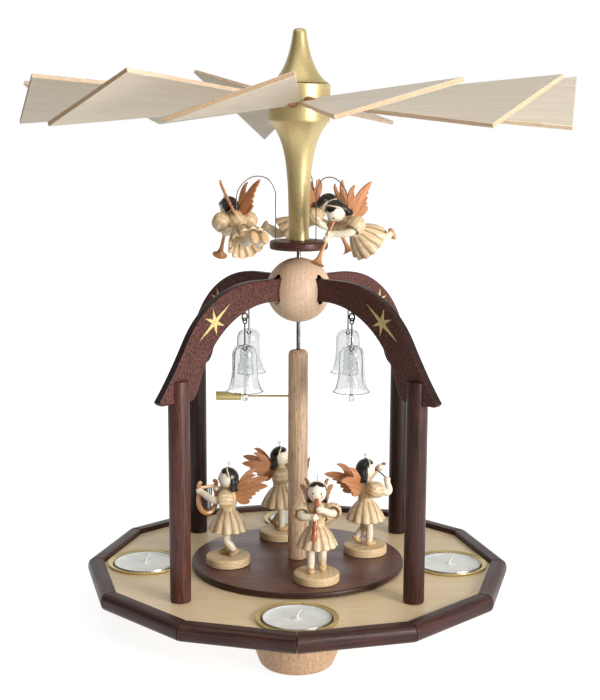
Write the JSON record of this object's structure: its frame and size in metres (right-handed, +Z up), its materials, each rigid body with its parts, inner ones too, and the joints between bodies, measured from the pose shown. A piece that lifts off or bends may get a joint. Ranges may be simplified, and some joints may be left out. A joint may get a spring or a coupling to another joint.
{
  "type": "christmas pyramid",
  "caption": "Wooden candle carousel: heat from tea lights drives a bladed fan on a steel shaft, which turns a table of angels and a striker under glass bells, framed by posts and arches.",
  "frame": {"origin": "on the surface it stands on, under the shaft", "axes": "+Z up along the shaft, -Y to the front, +X to the right seen from the front"},
  "size_m": [0.3168, 0.317, 0.3429],
  "materials": {
    "dark_stain": "dark brown stain under satin lacquer",
    "maple": "clear satin lacquer on pale board",
    "beech": "bare turned beech",
    "limewood": "bare pale wood",
    "angel_wood": "glossy clear lacquer with cream, dark and rosy paint",
    "gold_lacquer": "satin gold lacquer on turned wood",
    "brass": "polished",
    "steel": "bright drawn rod",
    "glass": "clear blown glass",
    "wax": "white wax in a thin aluminium shell"
  },
  "bodies": {
    "frame": {"base_board": "maple", "base_rim": "dark_stain", "foot_front": "beech", "foot_right": "beech", "foot_back": "beech", "foot_left": "beech", "candle_cup_front": "brass", "candle_cup_right": "brass", "candle_cup_back": "brass", "candle_cup_left": "brass", "post_front_right": "dark_stain", "post_back_right": "dark_stain", "post_back_left": "dark_stain", "post_front_left": "dark_stain", "arch_front_right": "dark_stain", "arch_back_right": "dark_stain", "arch_back_left": "dark_stain", "arch_front_left": "dark_stain", "head_ball": "beech", "ball_bush": "brass", "pivot_cup": "brass"},
    "rotor": {"shaft": "steel", "turntable": "dark_stain", "column": "beech", "striker_wire": "brass", "striker_flag": "brass", "angel_violin": "angel_wood", "angel_horn": "angel_wood", "angel_lyre": "angel_wood", "angel_recorder": "angel_wood", "carrier_disc": "dark_stain", "flying_angel_left": "angel_wood", "flying_angel_right": "angel_wood", "flying_angel_back": "angel_wood", "fan_hub": "gold_lacquer", "fan_finial": "gold_lacquer"},
    "fan_blade_01": {"blade_01": "limewood"},
    "fan_blade_02": {"blade_02": "limewood"},
    "fan_blade_03": {"blade_03": "limewood"},
    "fan_blade_04": {"blade_04": "limewood"},
    "fan_blade_05": {"blade_05": "limewood"},
    "fan_blade_06": {"blade_06": "limewood"},
    "fan_blade_07": {"blade_07": "limewood"},
    "fan_blade_08": {"blade_08": "limewood"},
    "fan_blade_09": {"blade_09": "limewood"},
    "fan_blade_10": {"blade_10": "limewood"},
    "fan_blade_11": {"blade_11": "limewood"},
    "fan_blade_12": {"blade_12": "limewood"},
    "hanging_bell_front_right": {"bell_front_right": "glass"},
    "hanging_bell_back_right": {"bell_back_right": "glass"},
    "hanging_bell_back_left": {"bell_back_left": "glass"},
    "hanging_bell_front_left": {"bell_front_left": "glass"},
    "hanging_clapper_front_right": {"clapper_front_right": "glass"},
    "hanging_clapper_back_right": {"clapper_back_right": "glass"},
    "hanging_clapper_back_left": {"clapper_back_left": "glass"},
    "hanging_clapper_front_left": {"clapper_front_left": "glass"},
    "loose_tea_light_front": {"tea_light_front": "wax"},
    "loose_tea_light_right": {"tea_light_right": "wax"},
    "loose_tea_light_back": {"tea_light_back": "wax"},
    "loose_tea_light_left": {"tea_light_left": "wax"}
  },
  "joints": [
    {"name": "rotor_spin", "type": "hinge", "parent": "frame", "child": "rotor", "pos_m": [0, 0, 0], "axis": [0, 0, 1], "continuous": true},
    {"name": "blade_01_pitch", "type": "hinge", "parent": "rotor", "child": "fan_blade_01", "pos_m": [0, 0, 0.3014], "axis": [-0.213, -0.977, 0], "range_deg": [-18.5, 71.5]},
    {"name": "blade_02_pitch", "type": "hinge", "parent": "rotor", "child": "fan_blade_02", "pos_m": [0, 0, 0.3014], "axis": [0.304, -0.9527, 0], "range_deg": [-15.5, 74.5]},
    {"name": "blade_03_pitch", "type": "hinge", "parent": "rotor", "child": "fan_blade_03", "pos_m": [0, 0, 0.3014], "axis": [0.7396, -0.673, 0], "range_deg": [-22, 68]},
    {"name": "blade_04_pitch", "type": "hinge", "parent": "rotor", "child": "fan_blade_04", "pos_m": [0, 0, 0.3014], "axis": [0.977, -0.213, 0], "range_deg": [-24.5, 65.5]},
    {"name": "blade_05_pitch", "type": "hinge", "parent": "rotor", "child": "fan_blade_05", "pos_m": [0, 0, 0.3014], "axis": [0.9527, 0.304, 0], "range_deg": [-22, 68]},
    {"name": "blade_06_pitch", "type": "hinge", "parent": "rotor", "child": "fan_blade_06", "pos_m": [0, 0, 0.3014], "axis": [0.673, 0.7396, 0], "range_deg": [-24, 66]},
    {"name": "blade_07_pitch", "type": "hinge", "parent": "rotor", "child": "fan_blade_07", "pos_m": [0, 0, 0.3014], "axis": [0.213, 0.977, 0], "range_deg": [-20, 70]},
    {"name": "blade_08_pitch", "type": "hinge", "parent": "rotor", "child": "fan_blade_08", "pos_m": [0, 0, 0.3014], "axis": [-0.304, 0.9527, 0], "range_deg": [-42, 48]},
    {"name": "blade_09_pitch", "type": "hinge", "parent": "rotor", "child": "fan_blade_09", "pos_m": [0, 0, 0.3014], "axis": [-0.7396, 0.673, 0], "range_deg": [-21, 69]},
    {"name": "blade_10_pitch", "type": "hinge", "parent": "rotor", "child": "fan_blade_10", "pos_m": [0, 0, 0.3014], "axis": [-0.977, 0.213, 0], "range_deg": [-18, 72]},
    {"name": "blade_11_pitch", "type": "hinge", "parent": "rotor", "child": "fan_blade_11", "pos_m": [0, 0, 0.3014], "axis": [-0.9527, -0.304, 0], "range_deg": [-20.5, 69.5]},
    {"name": "blade_12_pitch", "type": "hinge", "parent": "rotor", "child": "fan_blade_12", "pos_m": [0, 0, 0.3014], "axis": [-0.673, -0.7396, 0], "range_deg": [-22.5, 67.5]},
    {"name": "bell_front_right_swing", "type": "hinge", "parent": "frame", "child": "hanging_bell_front_right", "pos_m": [0.03041, -0.03041, 0.17914], "axis": [0.7071, -0.7071, 0], "range_deg": [-20, 20]},
    {"name": "bell_back_right_swing", "type": "hinge", "parent": "frame", "child": "hanging_bell_back_right", "pos_m": [0.03041, 0.03041, 0.17914], "axis": [0.7071, 0.7071, 0], "range_deg": [-20, 20]},
    {"name": "bell_back_left_swing", "type": "hinge", "parent": "frame", "child": "hanging_bell_back_left", "pos_m": [-0.03041, 0.03041, 0.17914], "axis": [-0.7071, 0.7071, 0], "range_deg": [-20, 20]},
    {"name": "bell_front_left_swing", "type": "hinge", "parent": "frame", "child": "hanging_bell_front_left", "pos_m": [-0.03041, -0.03041, 0.17914], "axis": [-0.7071, -0.7071, 0], "range_deg": [-20, 20]},
    {"name": "clapper_front_right_swing", "type": "hinge", "parent": "hanging_bell_front_right", "child": "hanging_clapper_front_right", "pos_m": [0.03041, -0.03041, 0.16274], "axis": [0.7071, -0.7071, 0], "range_deg": [-14, 14]},
    {"name": "clapper_back_right_swing", "type": "hinge", "parent": "hanging_bell_back_right", "child": "hanging_clapper_back_right", "pos_m": [0.03041, 0.03041, 0.16274], "axis": [0.7071, 0.7071, 0], "range_deg": [-14, 14]},
    {"name": "clapper_back_left_swing", "type": "hinge", "parent": "hanging_bell_back_left", "child": "hanging_clapper_back_left", "pos_m": [-0.03041, 0.03041, 0.16274], "axis": [-0.7071, 0.7071, 0], "range_deg": [-14, 14]},
    {"name": "clapper_front_left_swing", "type": "hinge", "parent": "hanging_bell_front_left", "child": "hanging_clapper_front_left", "pos_m": [-0.03041, -0.03041, 0.16274], "axis": [-0.7071, -0.7071, 0], "range_deg": [-14, 14]},
    {"name": "tea_light_front_lift", "type": "slide", "parent": "frame", "child": "loose_tea_light_front", "axis": [0, 0, 1], "range_m": [0, 0.03]},
    {"name": "tea_light_right_lift", "type": "slide", "parent": "frame", "child": "loose_tea_light_right", "axis": [0, 0, 1], "range_m": [0, 0.03]},
    {"name": "tea_light_back_lift", "type": "slide", "parent": "frame", "child": "loose_tea_light_back", "axis": [0, 0, 1], "range_m": [0, 0.03]},
    {"name": "tea_light_left_lift", "type": "slide", "parent": "frame", "child": "loose_tea_light_left", "axis": [0, 0, 1], "range_m": [0, 0.03]}
  ]
}
